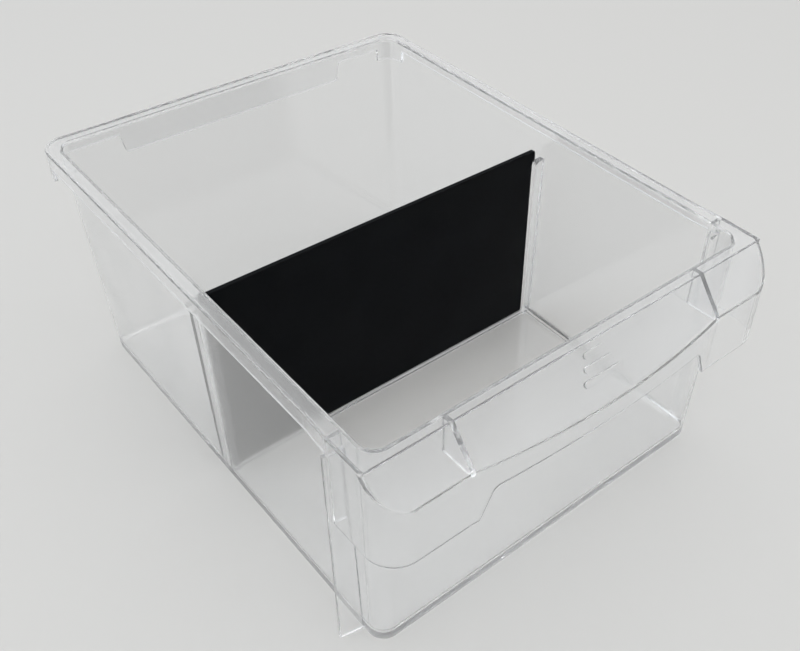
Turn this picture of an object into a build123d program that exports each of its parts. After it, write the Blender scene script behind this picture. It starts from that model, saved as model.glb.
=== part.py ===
from build123d import *
import os
from math import atan2, cos, sin

os.makedirs("parts", exist_ok=True)

# A clear moulded pull-out drawer with a loose divider plate that slides up out of its guide ribs.
# Millimetres. +X is to the right seen from the front, -Y is the handle side, +Z is up.
# The origin is at the middle of the bounding box, on the surface that the drawer stands on.

# ---- driving dimensions ----
height = 120.0          # up to the flat top of the rim
overall_depth = 279.0   # from the middle of the bowed handle to the rear lip
rim_half = 105.0        # half the width across the side lips
wall = 1.6              # walls and handle shell
floor = 2.0
rim_back = overall_depth / 2

# tub: the drafted box under the rim
inner_half_top = 97.8
inner_half_bottom = 96.0
front_inset_top = 4.0   # outer face of the front wall, behind the rim's front edge
front_inset_bottom = 6.4
back_inset_top = 6.0    # outer face of the rear wall, in front of the rear lip
back_inset_bottom = 13.0
corner_round = 8.0
bottom_round = 1.0      # outside
bottom_round_inside = 4.8

# rim: a flat flange with a lip turned down round its outer edge
flange = 1.8
lip = 1.6
lip_drop = 8.4
rim_corner = 11.0
rim_edge_round = 1.6    # inner edge
rim_outer_round = 0.9
stop_drop = 15.0        # deeper lip at the two rear corners, which stops the drawer in its case
stop_length = 12.0
tab_half = 67.0         # shallow tab in the middle of the rear lip
tab_drop = 18.6
tab_slant = 3.0

# handle: a sloped fascia from the rim's front edge to a crease, then a hanging skirt
fascia_half = 105.9
crease_reach = 12.8     # the crease stands this far in front of the rim
crease_drop = 15.9
crease_round = 3.2      # outside; the inside keeps the wall even
fascia_corner = 13.6
bow_reach = 3.5         # the middle of the handle bows forward by this much more
bow_half = 67.0
lobe_drop = 45.5        # skirt depth at both ends
middle_drop = 30.6      # skirt depth over the bow
notch_half_top = 57.0
notch_half_bottom = 63.5
gusset_drop = 18.6
gusset_thick = 2.2
skirt_edge_round = 0.6
rim_front = -overall_depth / 2 + crease_reach + bow_reach

# fins: upright plates that widen the front of the tub down to the floor
fin_half = 107.5
fin_back = 21.8         # rear face of the fin at its outer edge, behind the rim's front edge
fin_slant = 3.0         # the fin's root is this much nearer the front
fin_gap = lip_drop      # the fin stops this far below the top of the rim, where the side lip ends

# grip ribs on the fascia
grip_widths = [11.4, 15.6, 20.6]
grip_first = 4.9
grip_pitch = 5.0
grip_height = 2.8
grip_proud = 1.1
grip_round = 0.6

# guides: two ribs on each side wall and two low ribs on the floor hold the divider
rib_tip = 92.0
rib_top = 102.5
rib_round = 3.0
front_rib = 124.3       # front faces of the two ribs and of the slot, behind the rim's front edge
slot_front = 127.4
slot_back = 131.0
back_rib = 134.2
floor_rib_height = 1.2
floor_rib_thick = 1.6

# divider
divider_half = 94.4
divider_thick = 2.5
divider_top = 106.9
divider_lift = 0.4      # clearance over the floor
divider_foot_round = 3.0
divider_top_round = 1.2
divider_edge = 0.3

# ---- values worked out from them ----
outer_half_top = inner_half_top + wall
outer_half_bottom = inner_half_bottom + wall
front_top = rim_front + front_inset_top
front_bottom = rim_front + front_inset_bottom
back_top = rim_back - back_inset_top
back_bottom = rim_back - back_inset_bottom
flange_under = height - flange
slope_angle = atan2(crease_drop, crease_reach)
slot_middle = rim_front + (slot_front + slot_back) / 2


def tub_outline(level, inset):
    """Rounded rectangle of the tub wall at a height, moved inwards by inset."""
    share = level / height
    half = outer_half_bottom + (outer_half_top - outer_half_bottom) * share - inset
    front = front_bottom + (front_top - front_bottom) * share + inset
    back = back_bottom + (back_top - back_bottom) * share - inset
    with BuildSketch(Plane.XY.offset(level)) as outline:
        with Locations((0, (front + back) / 2)):
            RectangleRounded(2 * half, back - front, corner_round - inset)
    return outline.sketch


def rim_outline(inset, level):
    """The rim seen from above: rounded at the back, widening to the handle at the front."""
    side = rim_half - inset
    near = fascia_half - inset
    back = rim_back - inset
    front = rim_front
    with BuildSketch(Plane.XY.offset(level)) as outline:
        with BuildLine():
            Polyline(
                (-side, back), (-side, front + fin_back + 14), (-near, front + fin_back), (-near, front),
                (near, front), (near, front + fin_back), (side, front + fin_back + 14), (side, back),
                close=True,
            )
        make_face()
        fillet(outline.vertices().group_by(Axis.Y)[-1], radius=rim_corner - inset)
    return outline.sketch


def fascia_outline(inset, level):
    """The handle seen from above: straight ends with round corners and a bowed middle."""
    end = fascia_half - inset
    front = rim_front - crease_reach + inset
    back = rim_front + fin_back - inset
    with BuildSketch(Plane.XY.offset(level)) as outline:
        with BuildLine():
            Polyline(
                (-bow_half, front), (-end, front), (-end, back),
                (end, back), (end, front), (bow_half, front),
            )
            ThreePointArc((bow_half, front), (0, front - bow_reach), (-bow_half, front))
        make_face()
        corners = outline.vertices().filter_by(lambda v: abs(v.X) > bow_half + 1 and v.Y < rim_front)
        fillet(corners, radius=fascia_corner - inset)
    return outline.sketch


def handle_solid(inset, bottom, top):
    """The handle as a solid block with its crease rounded; inset gives the space inside it."""
    with BuildPart() as block:
        add(fascia_outline(inset, bottom))
        extrude(amount=top - bottom)
        start = height - inset / cos(slope_angle)
        with BuildSketch(Plane.YZ.offset(-fascia_half)):
            with BuildLine():
                Polyline(
                    (rim_front + crease_reach, start + crease_drop),
                    (rim_front - 2 * crease_reach, start - 2 * crease_drop),
                    (rim_front - 2 * crease_reach, start + crease_drop),
                    close=True,
                )
            make_face()
        extrude(amount=2 * fascia_half, mode=Mode.SUBTRACT)
        tilted = block.faces().filter_by(lambda f: f.normal_at().Z > 0.1 and f.normal_at().Y < -0.1)
        slope_face = tilted[0]
        crease = slope_face.edges().filter_by(lambda e: e.bounding_box().min.Z < top - 0.1)
        fillet(crease, radius=crease_round - inset)
    return block.part


# the hollow of the tub, with the guide ribs left standing in it
with BuildPart() as hollow:
    add(tub_outline(floor, wall))
    add(tub_outline(height, wall))
    loft(ruled=True)
    fillet(hollow.faces().sort_by(Axis.Z)[0].edges(), radius=bottom_round_inside)
    for side in (-1, 1):
        for near, far in ((front_rib, slot_front), (slot_back, back_rib)):
            with BuildSketch(Plane.XZ.offset(-(rim_front + far))) as rib:
                with Locations((side * (rib_tip + 10), rib_top / 2)):
                    Rectangle(20, rib_top)
                tip = rib.vertices().group_by(Axis.Y)[-1].sort_by(lambda v: abs(v.X))[0]
                fillet(tip, radius=rib_round)
            extrude(amount=far - near, mode=Mode.SUBTRACT)
    for near in (slot_front - floor_rib_thick, slot_back):
        with Locations((0, rim_front + near + floor_rib_thick / 2, (floor + floor_rib_height) / 2)):
            Box(2 * outer_half_top, floor_rib_thick, floor + floor_rib_height, mode=Mode.SUBTRACT)

# the space behind the handle, open underneath
handle_space = handle_solid(wall, height - lobe_drop - 1, flange_under)

# the handle, hollowed
with BuildPart() as handle_block:
    add(handle_solid(0, height - lobe_drop, height))
    add(handle_space, mode=Mode.SUBTRACT)
    # the raised middle of the skirt, with slanted ends
    with BuildSketch(Plane.XZ.offset(-rim_front - 1.5)) as notch:
        with BuildLine():
            Polyline(
                (-notch_half_bottom - 2, height - lobe_drop - 4), (-notch_half_bottom, height - lobe_drop),
                (-notch_half_top, height - middle_drop), (notch_half_top, height - middle_drop),
                (notch_half_bottom, height - lobe_drop), (notch_half_bottom + 2, height - lobe_drop - 4),
                close=True,
            )
        make_face()
        fillet(notch.vertices().group_by(Axis.Y)[-1], radius=4)
    extrude(amount=crease_reach + bow_reach + 4, mode=Mode.SUBTRACT)
    # rounded lower edge of the skirt
    low_edges = handle_block.edges().filter_by(
        lambda e: e.center().Z < height - middle_drop + 0.1
        and e.center().Y < rim_front + fin_back - wall - 0.1
        and abs((e % 0.5).Z) < 0.95
    )
    fillet(low_edges, radius=skirt_edge_round)
    # gussets between the fascia and the front wall
    for side in (-1, 1):
        with BuildSketch(Plane.YZ.offset(side * bow_half - gusset_thick / 2)):
            with BuildLine():
                Polyline(
                    (rim_front + front_inset_top + 1, height - flange / 2),
                    (rim_front, height - flange / 2),
                    (rim_front - crease_reach + 1, height - crease_drop - 0.5),
                    (rim_front - crease_reach + 1, height - gusset_drop),
                    (rim_front + front_inset_top + 1, height - gusset_drop),
                    close=True,
                )
            make_face()
        extrude(amount=gusset_thick)

# raised ribs with rounded tops, in the middle of the slope
slope = Plane(
    origin=(0, rim_front, height),
    x_dir=(1, 0, 0),
    z_dir=(0, -sin(slope_angle), cos(slope_angle)),
)
with BuildPart() as grips:
    for number, width in enumerate(grip_widths):
        with BuildSketch(slope.offset(-wall / 2)):
            with Locations((0, -(grip_first + number * grip_pitch))):
                SlotOverall(width, grip_height)
        extrude(amount=wall / 2 + grip_proud)
    tops = grips.edges().filter_by(lambda e: slope.to_local_coords(e.center()).Z > grip_proud - 0.01)
    fillet(tops, radius=grip_round)

with BuildPart() as drawer:
    # tub
    add(tub_outline(0, 0))
    add(tub_outline(height, 0))
    loft(ruled=True)
    fillet(drawer.faces().sort_by(Axis.Z)[0].edges(), radius=bottom_round)
    # flange
    add(rim_outline(0, flange_under))
    extrude(amount=flange)
    # lip round the sides and the back
    with BuildSketch(Plane.XY.offset(height - lip_drop)) as lip_ring:
        add(rim_outline(0, 0))
        add(rim_outline(lip, 0), mode=Mode.SUBTRACT)
        with Locations((0, rim_front - 50 + fin_back)):
            Rectangle(3 * rim_half, 100, mode=Mode.SUBTRACT)
    extrude(amount=lip_drop - flange / 2)
    # deeper lip at the rear corners
    with BuildSketch(Plane.XY.offset(height - stop_drop)):
        add(rim_outline(0, 0))
        add(rim_outline(lip, 0), mode=Mode.SUBTRACT)
        with Locations((0, rim_front)):
            Rectangle(3 * rim_half, 2 * (rim_back - stop_length - rim_front), mode=Mode.SUBTRACT)
        Rectangle(2 * (rim_half - stop_length), 3 * overall_depth, mode=Mode.SUBTRACT)
    extrude(amount=stop_drop - flange / 2)
    # tab in the middle of the rear lip
    with BuildSketch(Plane.XZ.offset(-rim_back)) as tab:
        with BuildLine():
            Polyline(
                (-tab_half, height - flange), (-tab_half + tab_slant, height - tab_drop),
                (tab_half - tab_slant, height - tab_drop), (tab_half, height - flange),
                close=True,
            )
        make_face()
        fillet(tab.vertices().group_by(Axis.Y)[0], radius=2)
    extrude(amount=lip)
    # handle
    add(handle_block.part)
    # fins
    for side in (-1, 1):
        tip = (side * fin_half, rim_front + fin_back)
        root = (side * (outer_half_bottom - 4), rim_front + fin_back - fin_slant)
        with BuildSketch(Plane.XY):
            with BuildLine():
                Polyline(tip, root, (root[0], root[1] - wall), (tip[0], tip[1] - wall), close=True)
            make_face()
        extrude(amount=height - fin_gap)
    add(grips.part)
    # hollow
    add(hollow.part, mode=Mode.SUBTRACT)
    top_face = drawer.faces().filter_by(Axis.Z).sort_by(Axis.Z)[-1]
    fillet(top_face.inner_wires()[0].edges(), radius=rim_edge_round)
    # the outer edge of the rim, except over the ends of the handle
    top_face = drawer.faces().filter_by(Axis.Z).sort_by(Axis.Z)[-1]
    outer_edges = top_face.outer_wire().edges()
    fillet(
        outer_edges.filter_by(lambda e: e.length > 2 * fin_back or e.center().Y > rim_front + fin_back),
        radius=rim_outer_round,
    )

drawer.part.label = "drawer"
export_step(drawer.part, "parts/drawer.step")

with BuildPart() as divider:
    with BuildSketch(Plane.XZ.offset(-(slot_middle + divider_thick / 2))) as panel:
        with Locations((0, (floor + divider_lift + divider_top) / 2)):
            Rectangle(2 * divider_half, divider_top - floor - divider_lift)
        fillet(panel.vertices().group_by(Axis.Y)[0], radius=divider_foot_round)
        fillet(panel.vertices().group_by(Axis.Y)[-1], radius=divider_top_round)
    extrude(amount=divider_thick)
    chamfer(divider.faces().filter_by(Axis.Y).edges(), length=divider_edge)

divider.part.label = "divider_plate"
export_step(divider.part, "parts/divider_plate.step")
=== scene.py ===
import math

import bpy
from mathutils import Matrix, Vector

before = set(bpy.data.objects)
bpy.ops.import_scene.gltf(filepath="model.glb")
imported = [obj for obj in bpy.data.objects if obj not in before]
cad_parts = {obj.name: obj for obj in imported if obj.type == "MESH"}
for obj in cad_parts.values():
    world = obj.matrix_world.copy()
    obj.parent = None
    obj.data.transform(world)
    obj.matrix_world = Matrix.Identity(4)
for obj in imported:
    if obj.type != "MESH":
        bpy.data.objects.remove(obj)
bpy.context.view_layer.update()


# ---------------------------------------------------------------- materials
def new_material(name):
    """An empty node material: returns the material, its tree and its output node."""
    material = bpy.data.materials.new(name)
    material.use_nodes = True
    tree = material.node_tree
    tree.nodes.clear()
    return material, tree, tree.nodes.new("ShaderNodeOutputMaterial")


def noise(tree, scale, detail, roughness, stretch=(1, 1, 1)):
    """Noise in object space, so that it lies in the plastic and not on the screen."""
    place = tree.nodes.new("ShaderNodeTexCoord")
    mapping = tree.nodes.new("ShaderNodeMapping")
    mapping.inputs["Scale"].default_value = stretch
    texture = tree.nodes.new("ShaderNodeTexNoise")
    texture.inputs["Scale"].default_value = scale
    texture.inputs["Detail"].default_value = detail
    texture.inputs["Roughness"].default_value = roughness
    tree.links.new(place.outputs["Object"], mapping.inputs["Vector"])
    tree.links.new(mapping.outputs["Vector"], texture.inputs["Vector"])
    return texture.outputs["Fac"]


def mapped(tree, value, low, high, to_low, to_high):
    """The value moved from one range to another and held inside it."""
    node = tree.nodes.new("ShaderNodeMapRange")
    node.inputs["From Min"].default_value = low
    node.inputs["From Max"].default_value = high
    node.inputs["To Min"].default_value = to_low
    node.inputs["To Max"].default_value = to_high
    tree.links.new(value, node.inputs["Value"])
    return node.outputs["Result"]


def bump(tree, height, strength, distance):
    """A surface normal tilted by the height."""
    node = tree.nodes.new("ShaderNodeBump")
    node.inputs["Strength"].default_value = strength
    node.inputs["Distance"].default_value = distance
    tree.links.new(height, node.inputs["Height"])
    return node.outputs["Normal"]


def clear_plastic():
    """Clear moulded plastic: slightly milky, with flow waves and faint wear. Lamps shine through it."""
    material, tree, output = new_material("clear_plastic")
    shader = tree.nodes.new("ShaderNodeBsdfPrincipled")
    shader.inputs["Base Color"].default_value = (0.996, 0.998, 1.0, 1)
    shader.inputs["Transmission Weight"].default_value = 0.95
    shader.inputs["IOR"].default_value = 1.47
    wear = mapped(tree, noise(tree, 28, 3, 0.5), 0.4, 0.7, 0.07, 0.12)
    tree.links.new(wear, shader.inputs["Roughness"])
    waves = bump(tree, noise(tree, 14, 2, 0.4), 0.04, 0.002)
    tree.links.new(waves, shader.inputs["Normal"])
    shadow = tree.nodes.new("ShaderNodeBsdfTransparent")
    shadow.inputs["Color"].default_value = (0.99, 0.991, 0.993, 1)
    path = tree.nodes.new("ShaderNodeLightPath")
    mix = tree.nodes.new("ShaderNodeMixShader")
    tree.links.new(path.outputs["Is Shadow Ray"], mix.inputs["Fac"])
    tree.links.new(shader.outputs["BSDF"], mix.inputs[1])
    tree.links.new(shadow.outputs["BSDF"], mix.inputs[2])
    tree.links.new(mix.outputs["Shader"], output.inputs["Surface"])
    return material


def black_plastic():
    """Smooth black sheet with fine grain, faint rubs and a little dust."""
    material, tree, output = new_material("black_plastic")
    shader = tree.nodes.new("ShaderNodeBsdfPrincipled")
    tone = tree.nodes.new("ShaderNodeValToRGB")
    tone.color_ramp.elements[0].position = 0.35
    tone.color_ramp.elements[0].color = (0.0022, 0.0026, 0.0032, 1)
    tone.color_ramp.elements[1].position = 0.75
    tone.color_ramp.elements[1].color = (0.004, 0.0046, 0.0056, 1)
    tree.links.new(noise(tree, 35, 5, 0.6), tone.inputs["Fac"])
    tree.links.new(tone.outputs["Color"], shader.inputs["Base Color"])
    rubs = mapped(tree, noise(tree, 60, 6, 0.65, (1, 1, 0.3)), 0.4, 0.7, 0.3, 0.42)
    tree.links.new(rubs, shader.inputs["Roughness"])
    grain = bump(tree, noise(tree, 900, 2, 0.5), 0.06, 0.0003)
    tree.links.new(grain, shader.inputs["Normal"])
    shader.inputs["Specular IOR Level"].default_value = 0.05
    tree.links.new(shader.outputs["BSDF"], output.inputs["Surface"])
    return material


def table_cloth():
    """Pale matt table top."""
    material, tree, output = new_material("pale_table")
    shader = tree.nodes.new("ShaderNodeBsdfPrincipled")
    shader.inputs["Base Color"].default_value = (0.64, 0.634, 0.616, 1)
    shader.inputs["Roughness"].default_value = 0.75
    shader.inputs["Specular IOR Level"].default_value = 0.2
    tree.links.new(shader.outputs["BSDF"], output.inputs["Surface"])
    return material


def paint(node, material):
    """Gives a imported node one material."""
    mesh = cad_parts[node].data
    mesh.materials.clear()
    mesh.materials.append(material)


paint("drawer", clear_plastic())
paint("divider_plate", black_plastic())

# ---------------------------------------------------------------- table
# a little under the drawer, because two surfaces in one plane leave patches in the clear bottom
table_gap = 0.0003
table_size = 6
bpy.ops.mesh.primitive_plane_add(size=table_size, location=(0, 0, -table_gap))
table = bpy.context.object
table.name = "table_top"
table.data.materials.append(table_cloth())


# ---------------------------------------------------------------- light
def softbox(name, place, target, width, depth, power, colour=(1, 1, 1)):
    """A rectangular soft light that faces a point."""
    data = bpy.data.lights.new(name, "AREA")
    data.shape = "RECTANGLE"
    data.size = width
    data.size_y = depth
    data.energy = power
    data.color = colour
    lamp = bpy.data.objects.new(name, data)
    bpy.context.collection.objects.link(lamp)
    lamp.location = place
    lamp.rotation_euler = (Vector(target) - Vector(place)).to_track_quat("-Z", "Y").to_euler()


drawer_middle = (0, 0, 0.05)
cool_white = (0.82, 0.91, 1)
world = bpy.data.worlds.new("studio")
world.use_nodes = True
background = world.node_tree.nodes["Background"]
background.inputs["Color"].default_value = (0.975, 0.985, 1.0, 1)
background.inputs["Strength"].default_value = 0.77
bpy.context.scene.world = world
softbox("overhead", (-0.05, -0.28, 1.8), (0, 0, 0), 2.6, 2.4, 15.5)
softbox("window", (-1.5, 0.9, 1.3), drawer_middle, 1.4, 1.2, 5, cool_white)

# ---------------------------------------------------------------- camera
camera_place = (-0.2199, -0.3011, 0.3658)
azimuth = math.radians(-41.8)    # from straight in front, negative to the left
elevation = math.radians(41.5)
roll = 0.037                     # radians
lens = bpy.data.cameras.new("camera")
lens.sensor_width = 36.0
lens.lens = 44.27
lens.shift_x = -0.0859
lens.shift_y = 0.0151
camera = bpy.data.objects.new("camera", lens)
bpy.context.collection.objects.link(camera)
back = Vector((
    math.sin(azimuth) * math.cos(elevation),
    -math.cos(azimuth) * math.cos(elevation),
    math.sin(elevation),
))
right = Vector((math.cos(azimuth), math.sin(azimuth), 0))
up = back.cross(right)
right, up = (
    math.cos(roll) * right + math.sin(roll) * up,
    math.cos(roll) * up - math.sin(roll) * right,
)
turn = Matrix((right, up, back)).transposed().to_4x4()
camera.matrix_world = Matrix.Translation(camera_place) @ turn
bpy.context.scene.camera = camera

# light passes many clear faces one behind the other, so the path limits are raised
bpy.context.scene.view_settings.view_transform = "Standard"
bounces = bpy.context.scene.cycles
bounces.max_bounces = 32
bounces.glossy_bounces = 24
bounces.transmission_bounces = 32
bounces.transparent_max_bounces = 32
